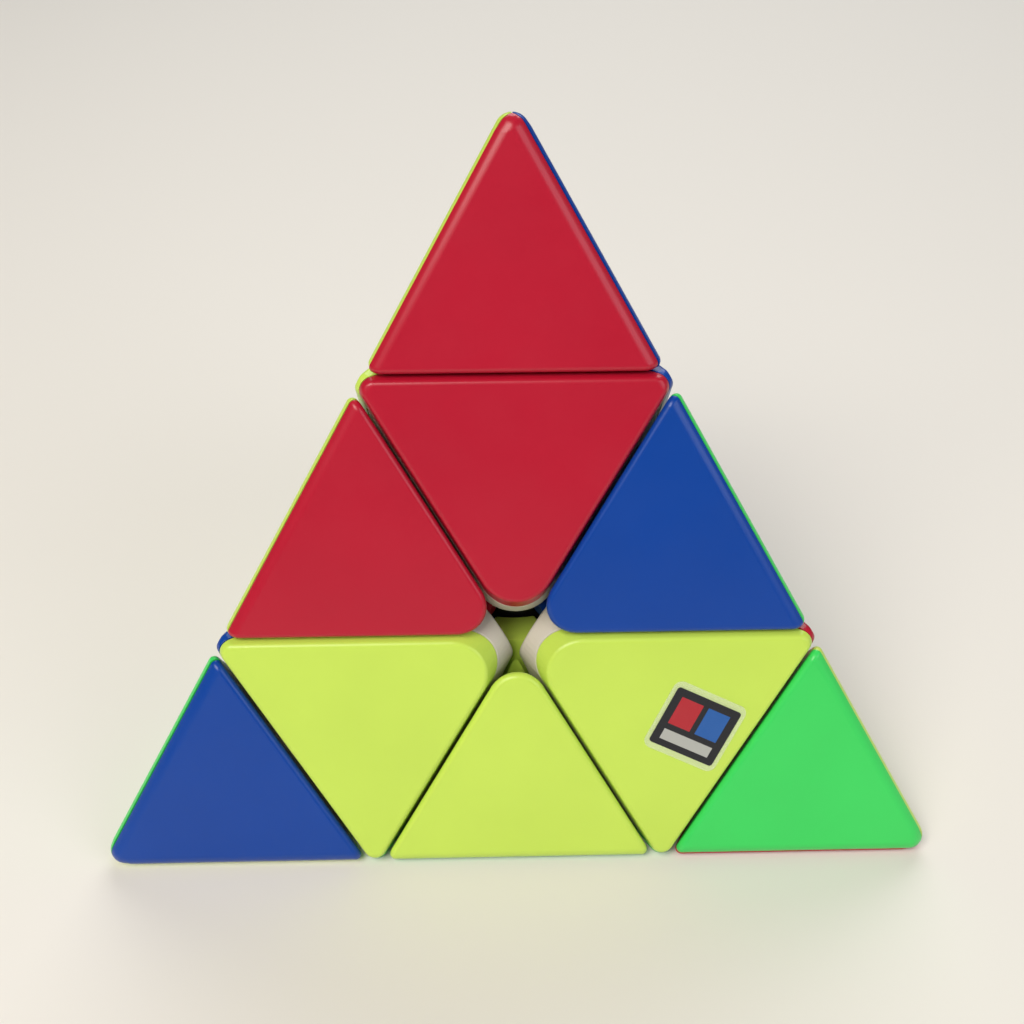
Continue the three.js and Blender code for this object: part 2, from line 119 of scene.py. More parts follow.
# Fineness
ARC_STEP = math.radians(9)  # along a rounded ridge or corner
FILLET_STEP = math.radians(13)  # across the small rounding of an edge
SHARP = math.radians(46)  # an edge above this angle keeps its line when shaded
FLAT = math.radians(0.4)  # faces that meet below this angle become one
MERGE = 0.02  # millimetres between points that become one
BALL_SEGMENTS = 128
TURNED_STEPS = 64


# ---- sizes and colours that a user would change ----


def length(name, millimetres, description):
    return FloatProperty(
        name=name, description=description, default=millimetres * MM, min=0, unit="LENGTH", precision=5
    )


def angle(name, degrees, description):
    return FloatProperty(
        name=name, description=description, default=math.radians(degrees), subtype="ANGLE"
    )


def linear(hex_colour):
    """An sRGB hex colour as linear red, green and blue."""
    channels = [int(hex_colour[i : i + 2], 16) / 255 for i in (1, 3, 5)]
    return [c / 12.92 if c <= 0.04045 else ((c + 0.055) / 1.055) ** 2.4 for c in channels]


def colour(name, hex_colour, description):
    return FloatVectorProperty(
        name=name, description=description, default=linear(hex_colour), subtype="COLOR", min=0, max=1
    )


class PuzzleMouldings(bpy.types.PropertyGroup):
    ridge_radius: length("Ridge radius", 1.6, "Rounding of the outer ridges and of the four points")
    rim_radius: length("Rim radius", 1.35, "Rounding of the corners that lie at a ridge")
    tip_radius: length("Tip corner radius", 1.1, "Rounding of a tip's corners at its seam")
    axial_nose: length("Axial nose", 4.4, "Rounding of an axial towards the open middle of a face")
    edge_nose: length("Edge nose", 3.5, "Rounding of an edge piece towards the open middle of a face")
    fillet: length("Fillet", 0.62, "Rounding of every outer edge of a moulding")
    crisp: length("Crisp edge", 0.07, "Rounding of the edges where two mouldings are assembled")
    seam_gap: length("Seam gap", 0.4, "Gap between pieces that turn past each other")
    parting_gap: length("Parting gap", 0.12, "Gap between mouldings that are assembled together")
    shell: length("Shell thickness", 1.95, "Thickness of the coloured plates and tip shells")
    wall: length("Wall", 1.6, "Wall of the hollow axials and edge pieces")


class PuzzleMechanism(bpy.types.PropertyGroup):
    flange_depth: length("Flange depth", 5.8, "From the middle of a face down to the ball-shaped track")
    clearance: length("Track clearance", 0.25, "Clearance on each side of the track")
    foot_thickness: length("Foot thickness", 3.7, "Thickness of the feet under the axials")
    foot_cut: length("Foot cut", 2, "Distance of the feet's side walls from the centre of the core")
    foot_fillet: length("Foot fillet", 0.45, "Rounding of the feet")
    arm_radius: length("Arm radius", 3.8, "Radius of the core's arms")
    arm_rise: length("Arm rise", 1.45, "Height of an arm above the ball of the core")
    stem_radius: length("Stem radius", 5, "Radius of the axial's stem")
    stem_gap: length("Stem gap", 0.4, "Gap between an arm and the stem over it")
    well_depth: length("Well depth", 14.6, "Depth of the axial's bore below the tip seam")
    boss_radius: length("Boss radius", 5, "Radius of the boss under a tip")
    boss_wall: length("Boss wall", 1.2, "Wall of the boss")
    boss_floor: length("Boss floor", 1.8, "Floor of the boss")
    tip_base: length("Tip base", 6, "Height of a tip's base above its seam")
    spin: length("Spin clearance", 0.3, "Radial clearance of what turns in a bore")


class PuzzleSticker(bpy.types.PropertyGroup):
    film_width: length("Film width", 8.8, "Width of the clear film")
    film_height: length("Film height", 8.7, "Height of the clear film")
    print_width: length("Print width", 7.8, "Width of the printed patch")
    print_height: length("Print height", 7.2, "Height of the printed patch")
    film_thickness: length("Film thickness", 0.09, "Thickness of the clear film")
    film_corner: length("Film corner", 1, "Radius of the film's corners")
    print_corner: length("Print corner", 0.35, "Radius of the print's corners")
    turn: angle("Turn", -26, "Turn of the sticker on its plate")


class PuzzleColours(bpy.types.PropertyGroup):
    red: colour("Red", "#b3152f", "Red plates and edge pieces")
    yellow: colour("Yellow", "#c4e259", "Yellow plates and edge pieces")
    blue: colour("Blue", "#003f9a", "Blue plates and edge pieces")
    green: colour("Green", "#3bd560", "Green plates and edge pieces")
    white: colour("White", "#d0cbbd", "Axial bodies and tip bases")
    black: colour("Black", "#131316", "Core")
    steel: colour("Steel", "#b4b6ba", "Screws, washers and springs")
    ink: colour("Ink", "#12141c", "Ground of the printed sticker")
    print_red: colour("Print red", "#a81d2a", "First block of the printed sticker")
    print_blue: colour("Print blue", "#1a569f", "Second block of the printed sticker")
    print_pale: colour("Print pale", "#a9aba6", "Bar of the printed sticker")
    floor: colour("Floor", "#dedbd4", "Floor and backdrop")


class PuzzleCamera(bpy.types.PropertyGroup):
    azimuth: angle("Azimuth", -1.07, "Turn of the view about +Z")
    elevation: angle("Elevation", 37.6, "Height of the view over the horizon")
    roll: angle("Roll", -0.2, "Tilt of the picture")
    distance: length("Distance", 146, "From the camera to the point that it looks at")
    aim_up: length("Aim up", 7.4, "Height of that point over the centre of the core")
    lens: FloatProperty(
        name="Lens",
        description="Focal length in millimetres",
        default=41.87,
        min=1,
        subtype="DISTANCE_CAMERA",
    )


AIM_LEFT = 0.13 * MM  # of the point that the camera looks at, from the centre of the core


def size(name):
    """A size in millimetres."""
    scene = bpy.context.scene
    groups = (scene.puzzle_mouldings, scene.puzzle_mechanism, scene.puzzle_sticker)
    return next(getattr(group, name) for group in groups if name in group.__annotations__) / MM


# ---- planes and cells ----

Plane = namedtuple("Plane", "normal distance")  # keeps the points whose share along the normal is less


def short(direction, limit):
    return Plane(direction.copy(), limit)


def beyond(direction, limit):
    return Plane(-direction, -limit)


def between(start, end, step):
    """Directions from start to end, about a step apart, with both ends."""
    count = max(1, math.ceil(start.angle(end) / step - 0.01))
    return [start.slerp(end, i / count) for i in range(count + 1)]


def round_edge(a, b, radius):
    """The planes between two others that touch the cylinder which rounds their edge."""
    share = a.normal.dot(b.normal)
    reach_a, reach_b = a.distance - radius, b.distance - radius
    centre = a.normal * (reach_a - share * reach_b) + b.normal * (reach_b - share * reach_a)
    centre /= 1 - share * share
    return [Plane(n, centre.dot(n) + radius) for n in between(a.normal, b.normal, ARC_STEP)[1:-1]]


def round_point(centre, directions, radius):
    """The planes that touch a ball, over the patch between three directions."""
    a, b, c = directions
    count = math.ceil(a.angle(b) / ARC_STEP)
    shares = [(i, j, count - i - j) for i in range(count) for j in range(count - i) if max(i, j) < count]
    normals = [(a * i + b * j + c * k).normalized() for i, j, k in shares if k < count]
    return [Plane(n, centre.dot(n) + radius) for n in normals]


def upright(plane, face):
    """The plane square to a face that meets it in the same line as the given one."""
    share = plane.normal.dot(face.normal)
    normal = plane.normal - face.normal * share
    return Plane(normal.normalized(), (plane.distance - share * face.distance) / normal.length)


def cut(mesh, plane):
    """Cuts off what lies past a plane and closes the cut. Returns the new faces."""
    bmesh.ops.bisect_plane(
        mesh,
        geom=mesh.verts[:] + mesh.edges[:] + mesh.faces[:],
        dist=1e-4,
        plane_co=plane.normal * plane.distance,
        plane_no=plane.normal,
        clear_outer=True,
    )
    rim = [edge for edge in mesh.edges if edge.is_boundary]
    return bmesh.ops.holes_fill(mesh, edges=rim, sides=0)["faces"] if rim else []


def cell(planes):
    """The convex solid inside the planes. Each face holds the number of its plane."""
    mesh = bmesh.new()
    bmesh.ops.create_cube(mesh, size=FAR)
    number = mesh.faces.layers.int.new("plane")
    for i, plane in enumerate(planes):
        for face in cut(mesh, plane):
            face[number] = i
    return mesh


def normals_round(vertex, planes, number):
    """The normals of the faces at a vertex, in their order round it."""
    normals = []
    first = loop = vertex.link_loops[0]
    while True:
        normals.append(planes[loop.face[number]].normal)
        loop = loop.link_loop_prev.link_loop_radial_next
        if loop == first:
            return normals


def patch(normals):
    """Directions that cover the patch between the normals at a vertex."""
    middle = sum(normals, Vector()).normalized()
    pairs = list(zip(normals, normals[1:] + normals[:1]))
    narrow = min(a.angle(b) for a, b in pairs) < 1.5 * ARC_STEP
    found = []
    for a, b in pairs:
        for rim in between(a, b, FILLET_STEP):
            found += [rim] if narrow else between(rim, middle, FILLET_STEP)
    return found


def rounded(planes, radius):
    """The convex solid inside the planes with every edge rounded: the hull of a ball at each vertex."""
    inner = cell([Plane(p.normal, p.distance - radius) for p in planes])
    number = inner.faces.layers.int["plane"]
    mesh = bmesh.new()
    for vertex in inner.verts:
        for direction in patch(normals_round(vertex, planes, number)):
            mesh.verts.new(vertex.co + direction * radius)
    inner.free()
    bmesh.ops.remove_doubles(mesh, verts=mesh.verts, dist=MERGE)
    hull = bmesh.ops.convex_hull(mesh, input=mesh.verts, use_existing_faces=False)
    inside = hull["geom_interior"] + hull["geom_unused"]
    loose = {item for item in inside if isinstance(item, bmesh.types.BMVert)}
    bmesh.ops.delete(mesh, geom=list(loose), context="VERTS")
    bmesh.ops.dissolve_limit(mesh, angle_limit=FLAT, verts=mesh.verts, edges=mesh.edges)
    bmesh.ops.recalc_face_normals(mesh, faces=mesh.faces)
    return mesh


def crisp(mesh, width):
    """A small rounding on every edge that is still sharp."""
    bmesh.ops.remove_doubles(mesh, verts=mesh.verts, dist=MERGE)
    bmesh.ops.dissolve_limit(mesh, angle_limit=FLAT, verts=mesh.verts, edges=mesh.edges)
    edges = [e for e in mesh.edges if len(e.link_faces) == 2 and e.calc_face_angle(0) > SHARP]
    bmesh.ops.bevel(
        mesh, geom=edges, offset=width, segments=2, profile=0.5, affect="EDGES", clamp_overlap=True
    )


# ---- other solids ----


def ball(radius):
    mesh = bmesh.new()
    bmesh.ops.create_uvsphere(mesh, u_segments=BALL_SEGMENTS, v_segments=BALL_SEGMENTS // 2, radius=radius)
    return mesh


def turned(profile, edge=0):
    """A solid turned about +Z from points of (radius, height) that start and end on the axis, or close."""
    mesh = bmesh.new()
    points = [mesh.verts.new((radius, 0, height)) for radius, height in profile]
    lines = [mesh.edges.new(pair) for pair in zip(points, points[1:])]
    bmesh.ops.spin(
        mesh, geom=points + lines, cent=(0, 0, 0), axis=UP, steps=TURNED_STEPS, angle=2 * math.pi
    )
    bmesh.ops.remove_doubles(mesh, verts=mesh.verts, dist=1e-3)
    bmesh.ops.dissolve_degenerate(mesh, edges=mesh.edges, dist=1e-3)
    bmesh.ops.recalc_face_normals(mesh, faces=mesh.faces)
    if edge:
        crisp(mesh, edge)
    return mesh


def rod(radius, low, high, edge=0):
    return turned([(0, low), (radius, low), (radius, high), (0, high)], edge)


def object_of(mesh, name):
    data = bpy.data.meshes.new(name)
    mesh.to_mesh(data)
    made = bpy.data.objects.new(name, data)
    bpy.context.scene.collection.objects.link(made)
    return made


def combine(body, tool, operation):
    """The first solid with the second joined (UNION), cut away (DIFFERENCE) or shared (INTERSECT)."""
    pair = [object_of(mesh, "solid") for mesh in (body, tool)]
    modifier = pair[0].modifiers.new("combine", "BOOLEAN")
    modifier.object = pair[1]
    modifier.operation = operation
    modifier.solver = "EXACT"
    made = pair[0].evaluated_get(bpy.context.evaluated_depsgraph_get()).to_mesh()
    result = bmesh.new()
    result.from_mesh(made)
    for item in pair:
        bpy.data.meshes.remove(item.data)
    if not result.faces:
        raise RuntimeError(f"nothing is left after {operation.lower()}")
    return result


# ---- the cells that the mouldings are cut from ----


def top_faces():
    return [short(FACES[name], FACE) for name in TOP_FACES]


def axial_cell():
    half = size("seam_gap") / 2
    faces = top_faces()
    seams = [short(CORNERS[name], LAYER_CUT - half) for name in ("left", "right", "back")]
    high = short(UP, TIP_CUT - half)
    planes = [*faces, *seams, high, beyond(UP, LAYER_CUT + half)]
    for a, b in itertools.combinations(faces, 2):
        planes += round_edge(a, b, size("ridge_radius"))
    for a, b in itertools.combinations(seams, 2):
        planes += round_edge(a, b, size("axial_nose"))
    for seam in seams:
        planes += round_edge(seam, high, size("rim_radius"))
    return rounded(planes, size("fillet"))


def tip_cell():
    radius = size("ridge_radius")
    faces = top_faces()
    low = beyond(UP, TIP_CUT + size("seam_gap") / 2)
    planes = [*faces, low]
    for a, b in itertools.combinations(faces, 2):
        planes += round_edge(a, b, radius)
    point = (CORNER - CAD_BOX[1].z / MM) / 2
    planes += round_point(UP * (CORNER - 3 * point), [face.normal for face in faces], point)
    for face, other in itertools.permutations(faces, 2):
        planes += round_edge(upright(low, face), upright(other, face), size("tip_radius"))
    return rounded(planes, size("fillet"))


def edge_cell():
    """The cell of the edge piece between the top and left corners."""
    seam = LAYER_CUT + size("seam_gap") / 2
    faces = [short(FACES["front"], FACE), short(FACES["left"], FACE)]
    seams = [beyond(CORNERS["left"], seam), beyond(UP, seam)]
    planes = [*faces, *seams]
    planes += round_edge(*faces, size("ridge_radius"))
    planes += round_edge(*seams, size("edge_nose"))
    for face, other in itertools.permutations(faces):
        for wall in seams:
            planes += round_edge(upright(wall, face), upright(other, face), size("rim_radius"))
    return rounded(planes, size("fillet"))


def front_of_ridges():
    normals = [(CORNERS[name] - CORNERS["back"]).normalized() for name in ("left", "right")]
    return [beyond(normal, size("parting_gap") / 2) for normal in normals]


def outer_skin(mesh):
    """What is left of a cell for its front plate or shell."""
    for plane in [beyond(FRONT, FACE - size("shell")), *front_of_ridges()]:
        cut(mesh, plane)
    crisp(mesh, size("crisp"))
    return mesh


def under_skin(mesh, *planes):
    """What is left of a cell under its three plates or shells."""
    inset = FACE - size("shell") - size("parting_gap")
    for plane in [*(short(FACES[name], inset) for name in TOP_FACES), *planes]:
        cut(mesh, plane)
    crisp(mesh, size("crisp"))
    return mesh


# ---- mouldings, each in its place at the top corner or on the front face ----


def track_radius():
    return FACE - size("flange_depth")


def foot_outer():
    return track_radius() - size("clearance")


def foot_inner():
    return foot_outer() - size("foot_thickness")


def core_radius():
    return foot_inner() - 2 * size("clearance")


def arm_end():
    return core_radius() + size("arm_rise")


def well_floor():
    return TIP_CUT - size("well_depth")


def axial_hollow():
    inset = size("seam_gap") / 2 + size("wall")
    seams = [short(CORNERS[name], LAYER_CUT - inset) for name in ("left", "right", "back")]
    walls = [*seams, beyond(UP, LAYER_CUT + inset), short(UP, TIP_CUT - inset)]
    for a, b in itertools.combinations(seams, 2):
        walls += round_edge(a, b, size("axial_nose") - size("wall"))
    hollow = cell([*top_faces(), *walls])
    tube = rod(size("boss_radius") + size("spin") + size("wall"), 0, CORNER)
    hollow = combine(hollow, tube, "DIFFERENCE")
    return combine(hollow, ball(track_radius() + size("clearance") + size("wall")), "DIFFERENCE")


def axial_body():
    edge = size("crisp")
    body = combine(under_skin(axial_cell()), ball(track_radius() + size("clearance")), "DIFFERENCE")
    stem = rod(size("stem_radius"), arm_end() + size("stem_gap"), well_floor() + 1, 2 * edge)
    body = combine(body, stem, "UNION")
    well = rod(size("boss_radius") + size("spin"), well_floor(), CORNER)
    body = combine(body, well, "DIFFERENCE")
    body = combine(body, rod(SCREW["radius"] + size("spin"), 0, CORNER), "DIFFERENCE")
    return combine(body, axial_hollow(), "DIFFERENCE")


def axial_plate():
    return outer_skin(axial_cell())


def tip_shell():
    return outer_skin(tip_cell())


def tip_base():
    base = under_skin(tip_cell(), short(UP, TIP_CUT + size("tip_base")))
    bottom = well_floor() + size("seam_gap")
    boss = rod(size("boss_radius"), bottom, TIP_CUT + 1, 4 * size("crisp"))
    base = combine(base, boss, "UNION")
    well = rod(size("boss_radius") - size("boss_wall"), bottom + size("boss_floor"), CORNER)
    base = combine(base, well, "DIFFERENCE")
    return combine(base, rod(SCREW["radius"] + size("spin"), 0, CORNER), "DIFFERENCE")


def edge_half():
    """The front half: a hollow block outside the track, a neck across it and a foot inside it."""
    left, right, back = (CORNERS[name] for name in ("left", "right", "back"))
    half = size("seam_gap") / 2
    middle = beyond((right - back).normalized(), size("parting_gap") / 2)
    under = [short(side, size("foot_cut") - half) for side in (right, back)]
    seam = LAYER_CUT + half
    block = edge_cell()
    cut(block, middle)
    crisp(block, size("crisp"))
    block = combine(block, ball(track_radius() + size("clearance")), "DIFFERENCE")
    hollow_walls = [beyond(side, seam + size("wall")) for side in (left, UP)]
    hollow_walls += round_edge(*hollow_walls, size("edge_nose") - size("wall"))
    hollow = cell([*hollow_walls, short(FRONT, FACE - size("wall")), short(right - back, FACE)])
    floor = ball(track_radius() + size("clearance") + size("wall"))
    block = combine(block, combine(hollow, floor, "DIFFERENCE"), "DIFFERENCE")
    cut_side = size("foot_cut") + half
    foot_walls = [beyond(left, cut_side), beyond(UP, cut_side), *under, short(FRONT, FACE)]
    foot = rounded(foot_walls, size("foot_fillet"))
    foot = combine(foot, ball(foot_outer()), "INTERSECT")
    neck_walls = [beyond(left, seam), beyond(UP, seam), *under, short(FRONT, FACE)]
    neck = rounded(neck_walls, size("foot_fillet"))
    neck = combine(neck, ball(track_radius() + 2 * size("clearance")), "INTERSECT")
    foot = combine(combine(foot, neck, "UNION"), ball(foot_inner()), "DIFFERENCE")
    cut(foot, middle)
    return combine(block, foot, "UNION")


def core():
    body = ball(core_radius())
    arm = rod(size("arm_radius"), core_radius() / 2, arm_end(), 5 * size("crisp"))
    hole = rod(SCREW["radius"] + size("spin"), arm_end() - SCREW["grip"] - 1, FAR)
    for corner in CORNERS:
        body = combine(body, carried(arm, top_to(corner)), "UNION")
    for corner in CORNERS:
        body = combine(body, carried(hole, top_to(corner)), "DIFFERENCE")
    return body


# ---- screws, washers and springs ----

SCREW = {"radius": 1.25, "head": 2.6, "head_height": 1.8, "grip": 6, "pitch": 0.8, "thread": 0.22}
WASHER = {"radius": 3.2, "thickness": 0.6}
SPRING = {"radius": 2.6, "wire": 0.35, "length": 7.5, "turns": 5.5}
STACK_GAP = 0.3  # between the fixings that lie on each other


def spring_seat():
    return well_floor() + size("seam_gap") + size("boss_floor") + STACK_GAP


def washer_seat():
    return spring_seat() + SPRING["length"] + STACK_GAP


def head_seat():
    return washer_seat() + WASHER["thickness"] + STACK_GAP


def threaded_shank(low, high):
    """A shank whose lower part has a thread, as rows of points whose radius follows a helix."""
    mesh = bmesh.new()
    rows_per_turn, sides = 8, 32
    threaded = SCREW["grip"] + 2
    count = round(threaded / SCREW["pitch"] * rows_per_turn)
    heights = [low + SCREW["radius"] + threaded * i / count for i in range(count + 1)]
    rings = []
    for height in [*heights, heights[-1] + 0.3, high]:
        ring = []
        for k in range(sides):
            turn = (height - low) / SCREW["pitch"] - k / sides
            depth = abs(turn % 1 - 0.5) * 2 * SCREW["thread"] if height <= heights[-1] else 0
            reach = SCREW["radius"] - depth
            angle = 2 * math.pi * k / sides
            ring.append(mesh.verts.new((reach * math.cos(angle), reach * math.sin(angle), height)))
        rings.append(ring)
    for lower, upper in zip(rings, rings[1:]):
        for k in range(sides):
            mesh.faces.new((lower[k], lower[(k + 1) % sides], upper[(k + 1) % sides], upper[k]))
    point = mesh.verts.new((0, 0, low))
    for k in range(sides):
        mesh.faces.new((point, rings[0][(k + 1) % sides], rings[0][k]))
    mesh.faces.new(rings[-1])
    bmesh.ops.recalc_face_normals(mesh, faces=mesh.faces)
    return mesh


def screw():
    low, seat = arm_end() - SCREW["grip"], head_seat()
    top = seat + SCREW["head_height"]
    head_profile = [
        (0, seat),
        (SCREW["head"], seat),
        (SCREW["head"], top - 0.7),
        (SCREW["head"] - 0.25, top - 0.3),
        (SCREW["head"] - 0.8, top),
        (0, top),
    ]
    body = combine(turned(head_profile, 0.08), threaded_shank(low, seat + 0.5), "UNION")
    for turn in (0, math.pi / 2):
        bar = bmesh.new()
        bmesh.ops.create_cube(bar, size=1)
        bmesh.ops.transform(bar, matrix=Matrix.Diagonal((3.2, 0.75, 1.8, 1)), verts=bar.verts)
        bmesh.ops.transform(bar, matrix=Matrix.Rotation(turn, 4, "Z"), verts=bar.verts)
        bmesh.ops.translate(bar, vec=(0, 0, top), verts=bar.verts)
        body = combine(body, bar, "DIFFERENCE")
    return body


def washer():
    inner, outer = SCREW["radius"] + size("spin"), WASHER["radius"]
    low, high = washer_seat(), washer_seat() + WASHER["thickness"]
    return turned([(inner, low), (outer, low), (outer, high), (inner, high), (inner, low)], 0.12)


def spring():
    """A wire wound in a helix whose end turns lie flat, as on a ground compression spring."""
    turns, wire, radius = SPRING["turns"], SPRING["wire"], SPRING["radius"]
    travel = SPRING["length"] - 2 * wire
    steps, sides = round(turns * 28), 12
    rings = []
    mesh = bmesh.new()
    for i in range(steps + 1):
        share = i / steps
        eased = share - math.sin(2 * math.pi * share) / (2 * math.pi) * 0.75
        angle = 2 * math.pi * turns * share
        out = Vector((math.cos(angle), math.sin(angle), 0))
        centre = out * radius + UP * (spring_seat() + wire + travel * eased)
        ring = [2 * math.pi * k / sides for k in range(sides)]
        rings.append([mesh.verts.new(centre + (out * math.cos(a) + UP * math.sin(a)) * wire) for a in ring])
    for a, b in zip(rings, rings[1:]):
        for k in range(sides):
            mesh.faces.new((a[k], a[(k + 1) % sides], b[(k + 1) % sides], b[k]))
    mesh.faces.new(rings[0])
    mesh.faces.new(rings[-1])
    bmesh.ops.recalc_face_normals(mesh, faces=mesh.faces)
    return mesh


# ---- the sticker on the right axial's front plate ----

FILM_LIFT = 0.01  # gap under the film
INK_LIFT = 0.004  # gap between the film and the ink on it
INK_THICKNESS = 0.016


def sticker_frame():
    """The sticker's middle, in millimetres, and its two directions."""
    low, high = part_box("plate_sticker")
    middle = (low + high) / 2 / MM
    up = (UP - FRONT * UP.dot(FRONT)).normalized()
    turn = Matrix.Rotation(bpy.context.scene.puzzle_sticker.turn, 3, FRONT)
    return middle, turn @ up.cross(FRONT), turn @ up


def card(kind, base, thickness):
    """A rounded rectangle on the front face, with its bottom at a height over the face."""
    middle, along, up = sticker_frame()
    sides = []
    for direction, extent in ((along, size(f"{kind}_width")), (up, size(f"{kind}_height"))):
        reach = middle.dot(direction)
        sides += [short(direction, reach + extent / 2), beyond(direction, reach - extent / 2)]
    corners = [round_edge(a, b, size(f"{kind}_corner")) for a in sides[:2] for b in sides[2:]]
    walls = [*sides, beyond(FRONT, FACE + base), short(FRONT, FACE + base + thickness)]
    mesh = cell([*walls, *itertools.chain(*corners)])
    layer = mesh.loops.layers.uv.new("card")
    for loop in (loop for face in mesh.faces for loop in face.loops):
        offset = loop.vert.co - middle
        shares = offset.dot(along) / size(f"{kind}_width"), offset.dot(up) / size(f"{kind}_height")
        loop[layer].uv = [share + 0.5 for share in shares]
    return mesh


# ---- places ----


def top_to(corner):
    """The half turn that takes the top corner to another one."""
    if corner == "top":
        return Matrix.Identity(4)
    return Matrix.Rotation(math.pi, 4, (CORNERS[corner] + UP).normalized())


def corner_along(direction, turn):
    pointed = turn @ direction
    return max(CORNERS, key=lambda name: CORNERS[name].dot(pointed))


def face_places():
    """For each corner and face at it: the corner, the face, the edge to its left and the turn there."""
    for corner in CORNERS:
        for third in range(3):
            turn = top_to(corner) @ Matrix.Rotation(third * 2 * math.pi / 3, 4, "Z")
            face = FACE_OPPOSITE[corner_along(CORNERS["back"], turn)]
            ends = (corner, corner_along(CORNERS["left"], turn))
            edge = "_".join(name for name in CORNERS if name in ends)
            yield corner, face, f"{edge}_edge", turn


def carried(mesh, turn):
    moved = mesh.copy()
    bmesh.ops.transform(moved, matrix=turn, verts=moved.verts)
    return moved


def add_piece(mesh, node, turn, suffix, finish=None):
    """Puts a copy of a solid at a node's place, with the node's material, in place of the node."""
    moved = carried(mesh, Matrix.Scale(MM, 4) @ turn)
    piece = object_of(moved, f"{node}_{suffix}")
    moved.free()
    piece.data.shade_smooth()
    piece.data.set_sharp_from_angle(angle=SHARP)
    weighted = piece.modifiers.new("flat faces stay flat", "WEIGHTED_NORMAL")
    weighted.keep_sharp = True
    piece.data.materials.append(finish or finish_of(SLOT_OF[node]))
    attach(piece, frame["nodes"][node]["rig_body"])
    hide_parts(node)
    return piece


# ---- finishes ----


def add(tree, kind, inputs=None, **settings):
    """Adds a node with its settings, and links or sets its inputs."""
    node = tree.nodes.new(kind)
    for name, value in settings.items():
        setattr(node, name, value)
    for name, value in (inputs or {}).items():
        if isinstance(value, bpy.types.NodeSocket):
            tree.links.new(value, node.inputs[name])
        else:
            node.inputs[name].default_value = value
    return node


def per_mm(millimetres):
    """The texture scale at which one feature has that size, in a space of metres."""
    return 1 / (millimetres * MM)


def blank(name):
    material = bpy.data.materials.new(name)
    material.use_nodes = True
    material.node_tree.nodes.clear()
    return material, material.node_tree


def moulded_abs(name, tint, roughness, depth=0.0):
    """Injection-moulded ABS: a satin gloss from the polished mould, a faint ripple where the melt shrank,
    and finger marks from being turned in the hand."""
    material, tree = blank(name)
    place = add(tree, "ShaderNodeTexCoord").outputs["Object"]
    flow = add(tree, "ShaderNodeTexNoise", {"Vector": place, "Scale": per_mm(14), "Detail": 3})
    tint = [*tint, 1]
    shade = [c * 0.86 for c in tint[:3]] + [1]
    base = add(
        tree,
        "ShaderNodeMix",
        {"Factor": flow.outputs["Fac"]},
        data_type="RGBA",
    )
    base.inputs["A"].default_value = tint
    base.inputs["B"].default_value = shade
    # finger marks, about 5 mm across
    marks = add(tree, "ShaderNodeTexNoise", {"Vector": place, "Scale": per_mm(5), "Detail": 3})
    dull = add(
        tree,
        "ShaderNodeMapRange",
        {
            "Value": marks.outputs["Fac"],
            "From Min": 0.2,
            "From Max": 0.8,
            "To Min": roughness - 0.03,
            "To Max": roughness + 0.05,
        },
    )
    # the mould's skin, a ripple about 1.2 mm long, with a finer grain on it
    ripple = add(tree, "ShaderNodeTexNoise", {"Vector": place, "Scale": per_mm(1.2), "Detail": 2})
    grain = add(tree, "ShaderNodeTexNoise", {"Vector": place, "Scale": per_mm(0.18), "Detail": 2})
    skin = add(
        tree,
        "ShaderNodeBump",
        {"Height": ripple.outputs["Fac"], "Strength": 0.25, "Distance": 0.012 * MM},
    )
    fine = add(
        tree,
        "ShaderNodeBump",
        {
            "Height": grain.outputs["Fac"],
            "Strength": 0.3,
            "Distance": 0.003 * MM,
            "Normal": skin.outputs["Normal"],
        },
    )
    shader = add(
        tree,
        "ShaderNodeBsdfPrincipled",
        {
            "Base Color": base.outputs["Result"],
            "Roughness": dull.outputs["Result"],
            "Normal": fine.outputs["Normal"],
            "IOR": 1.54,
            "Specular IOR Level": 0.36,
            "Subsurface Weight": depth,
            "Subsurface Radius": (1, 1, 1),
            "Subsurface Scale": 1.5 * MM,
        },
    )
    add(tree, "ShaderNodeOutputMaterial", {"Surface": shader.outputs["BSDF"]})
    return material


def plated_steel(name, tint):
    """Zinc-plated steel: bright, with fine turning marks that break up its reflections."""
    material, tree = blank(name)
    place = add(tree, "ShaderNodeTexCoord").outputs["Object"]
    clouds = add(tree, "ShaderNodeTexNoise", {"Vector": place, "Scale": per_mm(1.5), "Detail": 3})
    rough = add(
        tree,
        "ShaderNodeMapRange",
        {"Value": clouds.outputs["Fac"], "To Min": 0.2, "To Max": 0.42},
    )
    marks = add(tree, "ShaderNodeTexNoise", {"Vector": place, "Scale": per_mm(0.1), "Detail": 1})
    relief = add(
        tree,
        "ShaderNodeBump",
        {"Height": marks.outputs["Fac"], "Strength": 0.2, "Distance": 0.005 * MM},
    )
    shader = add(
        tree,
        "ShaderNodeBsdfPrincipled",
        {
            "Base Color": (*tint, 1),
            "Metallic": 1,
            "Roughness": rough.outputs["Result"],
            "Normal": relief.outputs["Normal"],
        },
    )
    add(tree, "ShaderNodeOutputMaterial", {"Surface": shader.outputs["BSDF"]})
    return material


